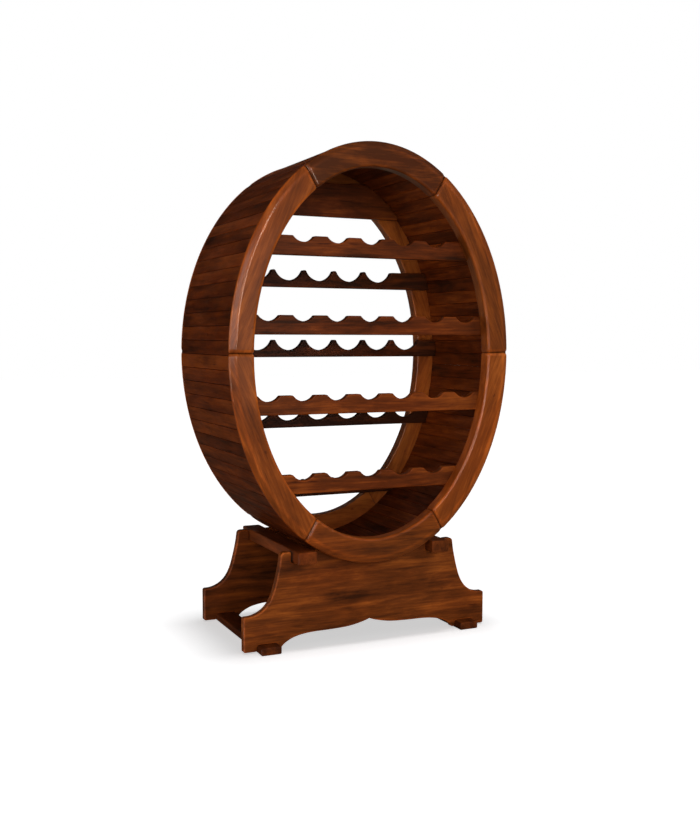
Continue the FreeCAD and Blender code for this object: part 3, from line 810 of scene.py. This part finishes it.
def smooth_curve(points, per=6):
    """Centripetal Catmull-Rom through the points."""
    p = np.array(points, float)
    q = np.vstack([2 * p[0] - p[1], p, 2 * p[-1] - p[-2]])
    out = []
    for i in range(1, len(q) - 2):
        p0, p1, p2, p3 = q[i - 1], q[i], q[i + 1], q[i + 2]
        t = [0.0]
        for a, b in ((p0, p1), (p1, p2), (p2, p3)):
            t.append(t[-1] + math.sqrt(np.linalg.norm(b - a)))
        for k in range(per):
            s = t[1] + (t[2] - t[1]) * k / per
            a1 = (t[1] - s) / (t[1] - t[0]) * p0 + (s - t[0]) / (t[1] - t[0]) * p1
            a2 = (t[2] - s) / (t[2] - t[1]) * p1 + (s - t[1]) / (t[2] - t[1]) * p2
            a3 = (t[3] - s) / (t[3] - t[2]) * p2 + (s - t[2]) / (t[3] - t[2]) * p3
            b1 = (t[2] - s) / (t[2] - t[0]) * a1 + (s - t[0]) / (t[2] - t[0]) * a2
            b2 = (t[3] - s) / (t[3] - t[1]) * a2 + (s - t[1]) / (t[3] - t[1]) * a3
            out.append((t[2] - s) / (t[2] - t[1]) * b1 + (s - t[1]) / (t[2] - t[1]) * b2)
    out.append(p[-1])
    return [tuple(v) for v in out]


def seat_z(x):
    """The boards' oval seat at x, in millimetres."""
    return 639.3 - 459.3 * math.sqrt(1 - (x / 337.3) ** 2)


def board_outline(slot):
    half = smooth_curve(ARCH)                                 # middle of the arch to the foot's inner corner
    half += [(RUNNER_X[0], FOOT), (RUNNER_X[0], RUNNER_H), (RUNNER_X[1], RUNNER_H), (RUNNER_X[1], FOOT), (BOARD_X, FOOT), (BOARD_X, SHOULDER)]
    half += smooth_curve(SIDE) + EAR_ROUND
    # top of the ear, down into the bearer's notch, up again and into the oval seat
    half += [(204.6, EAR), (BEARER_X[1] + slot, EAR), (BEARER_X[1] + slot, BEARER_Z[0]), (BEARER_X[0], BEARER_Z[0]), (BEARER_X[0], EAR)]
    x_ear = 337.3 * math.sqrt(1 - ((639.3 - EAR) / 459.3) ** 2)
    half += [(x, seat_z(x)) for x in np.linspace(x_ear, 0, 30)]
    left = [(-x, z) for x, z in half[::-1]]
    pts = half + left[1:-1]
    return [(x * MM, z * MM) for x, z in pts]


for y0, name, tn, slot in ((-BOARD_Y - BOARD_T, "stand_front_board", 0.30, BEARER_SLOT[0]), (BOARD_Y, "stand_back_board", 0.16, BEARER_SLOT[1])):
    prism("wood_" + name, board_outline(slot), y0 * MM, (y0 + BOARD_T) * MM, 2.9 * MM, along_x(some_offset()), tn, "stand_wood", [name],
          corner=1.8 * MM, longest=0.02)

for sx, word in ((-1, "left"), (1, "right")):
    b0, b1 = BEARER_X
    pts = [(sx * x * MM, z * MM) for x, z in ((b0, BEARER_Z[0]), (b1, BEARER_Z[0]), (b1, BEARER_Z[1]), (b0, BEARER_Z[1]))]
    prism("wood_bearer_" + word, pts, -BEARER_LEN / 2 * MM, BEARER_LEN / 2 * MM, 1.6 * MM, along_y(some_offset()), rng.uniform(0.4, 0.6) - 0.25, "beam_wood",
          ["bearer_" + word], corner=1.4 * MM)
    r0, r1 = RUNNER_X
    pts = [(sx * x * MM, z * MM) for x, z in ((r0, 0), (r1, 0), (r1, RUNNER_H), (r0, RUNNER_H))]
    # the runners' tone is lowered far below the bearers': painted shade, for the darkness low down near the floor
    prism("wood_runner_" + word, pts, -RUNNER_LEN / 2 * MM, RUNNER_LEN / 2 * MM, 1.8 * MM, along_y(some_offset()), rng.uniform(0.4, 0.6) - 0.7, "beam_wood",
          ["runner_" + word], corner=1.8 * MM)

# =============================================================================================
# floor, world and lights
# =============================================================================================
me = bpy.data.meshes.new("floor")
me.from_pydata([(-14, -14, 0), (14, -14, 0), (14, 14, 0), (-14, 14, 0)], [], [(0, 1, 2, 3)])
floor = bpy.data.objects.new("floor", me)
scene.collection.objects.link(floor)
t = Tree("floor_white")
lp = t.node("ShaderNodeLightPath").outputs["Is Camera Ray"]
seen = t.node("ShaderNodeBsdfDiffuse", {"Color": (0.86, 0.86, 0.87, 1.0)})
glow = t.node("ShaderNodeEmission", {"Color": (1, 1, 1, 1), "Strength": 0.58})
both = t.node("ShaderNodeAddShader", {0: seen.outputs[0], 1: glow.outputs[0]})
unseen = t.node("ShaderNodeBsdfDiffuse", {"Color": (0.25, 0.20, 0.15, 1.0)})
mixs = t.node("ShaderNodeMixShader", {0: lp, 1: unseen.outputs[0], 2: both.outputs[0]})
t.put(t.out.inputs["Surface"], mixs.outputs[0])
floor.data.materials.append(t.mat)

world = bpy.data.worlds.new("studio")
scene.world = world
world.use_nodes = True
nt = world.node_tree
nt.nodes.clear()
wo = nt.nodes.new("ShaderNodeOutputWorld")
bg_seen = nt.nodes.new("ShaderNodeBackground")
bg_seen.inputs[0].default_value = (1, 1, 1, 1)
bg_seen.inputs[1].default_value = 1.0
bg_light = nt.nodes.new("ShaderNodeBackground")
# the studio is lit towards the front; behind the object it is dark
wtc = nt.nodes.new("ShaderNodeTexCoord")
wsep = nt.nodes.new("ShaderNodeSeparateXYZ")
wmap = nt.nodes.new("ShaderNodeMapRange")
wmap.interpolation_type = "SMOOTHSTEP"
nt.links.new(wtc.outputs["Generated"], wsep.inputs[0])
nt.links.new(wsep.outputs["Y"], wmap.inputs["Value"])
for key, val in (("From Min", -0.5), ("From Max", 0.4), ("To Min", 0.14), ("To Max", 0.025)):
    wmap.inputs[key].default_value = val
bg_light.inputs[0].default_value = (1.0, 0.98, 0.96, 1)
nt.links.new(wmap.outputs["Result"], bg_light.inputs[1])
wlp = nt.nodes.new("ShaderNodeLightPath")
wmix = nt.nodes.new("ShaderNodeMixShader")
nt.links.new(wlp.outputs["Is Camera Ray"], wmix.inputs[0])
nt.links.new(bg_light.outputs[0], wmix.inputs[1])
nt.links.new(bg_seen.outputs[0], wmix.inputs[2])
nt.links.new(wmix.outputs[0], wo.inputs[0])


def sun(name, az, el, strength, angle, color=(1, 1, 1)):
    """az: 0 shines from the front (-Y), positive from the left."""
    d = bpy.data.lights.new(name, "SUN")
    d.energy, d.angle, d.color = strength, math.radians(angle), color
    o = bpy.data.objects.new(name, d)
    a, e = math.radians(az), math.radians(el)
    src = Vector((-math.sin(a) * math.cos(e), -math.cos(a) * math.cos(e), math.sin(e)))
    o.rotation_mode = "QUATERNION"
    o.rotation_quaternion = (-src).to_track_quat("-Z", "Y")
    o.location = src * 3
    scene.collection.objects.link(o)
    return o


def softbox(name, at, look, w, h, power, color=(1, 1, 1)):
    d = bpy.data.lights.new(name, "AREA")
    d.shape, d.size, d.size_y, d.energy, d.color = "RECTANGLE", w, h, power, color
    o = bpy.data.objects.new(name, d)
    o.location = at
    o.rotation_mode = "QUATERNION"
    o.rotation_quaternion = (Vector(look) - Vector(at)).to_track_quat("-Z", "Y")
    scene.collection.objects.link(o)
    return o


def lights_only(light, targets, state):
    """Light linking: the light reaches only these objects (INCLUDE), or all but these (EXCLUDE)."""
    c = bpy.data.collections.new("receives_" + light.name)
    for o in targets:
        c.objects.link(o)
    for item in c.collection_objects:
        item.light_linking.link_state = state
    light.light_linking.receiver_collection = c


lamps = [
    sun("key_sun", -46, 25, 1.85, 30),
    sun("front_fill", 20, 2, 0.85, 36),
    softbox("left_strip", (-2.1, -1.4, 0.85), (0, 0, 0.7), 0.16, 1.6, 19, (1.0, 0.83, 0.66)),
    softbox("front_strip", (0.0, -3.0, 1.2), (0, 0, 0.9), 0.16, 1.1, 20, (1.0, 0.82, 0.66)),
    softbox("right_low", (0.78, -2.97, 0.75), (-0.3, -0.18, 0.65), 0.5, 0.9, 0.8),
    sun("back_fill", -178, 12, 1.1, 44),
]
lamps[0].visible_glossy = False
lamps[-1].visible_glossy = False
for lamp in lamps:
    lights_only(lamp, [floor], "EXCLUDE")
# light thrown back into the barrel from in front of it
inside = [o for o in scene.objects if o.name in ("wood_staves_top", "wood_staves_upper_right", "wood_staves_lower_right", "wood_staves_bottom",
                                                 "wood_back_top_rail") or o.name.startswith(("wood_back_felloe", "wood_back_rail"))]
# a soft light far to the left, which draws the bright line on the front ring's rim
rim = softbox("rim_strip", (-2.5, 0.35, 0.75), (-0.33, -0.18, 0.7), 0.5, 1.2, 16, (1.0, 0.86, 0.74))
lights_only(rim, [o for o in scene.objects if o.name.startswith("wood_front_felloe")], "INCLUDE")
# the bright line on the inner arris at the lower right and the bottom
arris = sun("arris_left_high", 70, 33, 1.2, 24)
arris.data.color = (1.0, 0.80, 0.62)
lights_only(arris, [o for o in scene.objects if o.name.startswith(("wood_front_felloe_lower_right", "wood_front_felloe_bottom"))], "INCLUDE")
bounce = sun("inside_bounce", 25, -12, 0.85, 45)
lights_only(bounce, inside, "INCLUDE")
# the lighter inner arris at the top and the upper right
under = sun("arris_left_low", 58, -26, 1.1, 30)
under.visible_glossy = False
lights_only(under, [o for o in scene.objects if o.name.startswith(("wood_front_felloe_top", "wood_front_felloe_upper_right"))], "INCLUDE")
# light thrown back by the floor on the left, onto the stand's ends
low = sun("left_bounce", 84, -22, 1.5, 30)
lights_only(low, [o for o in scene.objects if o.name.startswith(("wood_stand", "wood_runner_left", "wood_bearer_left"))], "INCLUDE")
for lamp in (bounce, under, low):
    no_block = bpy.data.collections.new(lamp.name + "_passes")
    no_block.objects.link(floor)
    for item in no_block.collection_objects:
        item.light_linking.link_state = "EXCLUDE"
    lamp.light_linking.blocker_collection = no_block
# a soft light from straight above draws the floor's shadow
lights_only(sun("overhead_floor", -70, 88.2, 1.6, 13), [floor], "INCLUDE")

scene.view_settings.view_transform = "Standard"
scene.view_settings.look = "None"
scene.view_settings.exposure = 0.0
scene.view_settings.gamma = 1.0
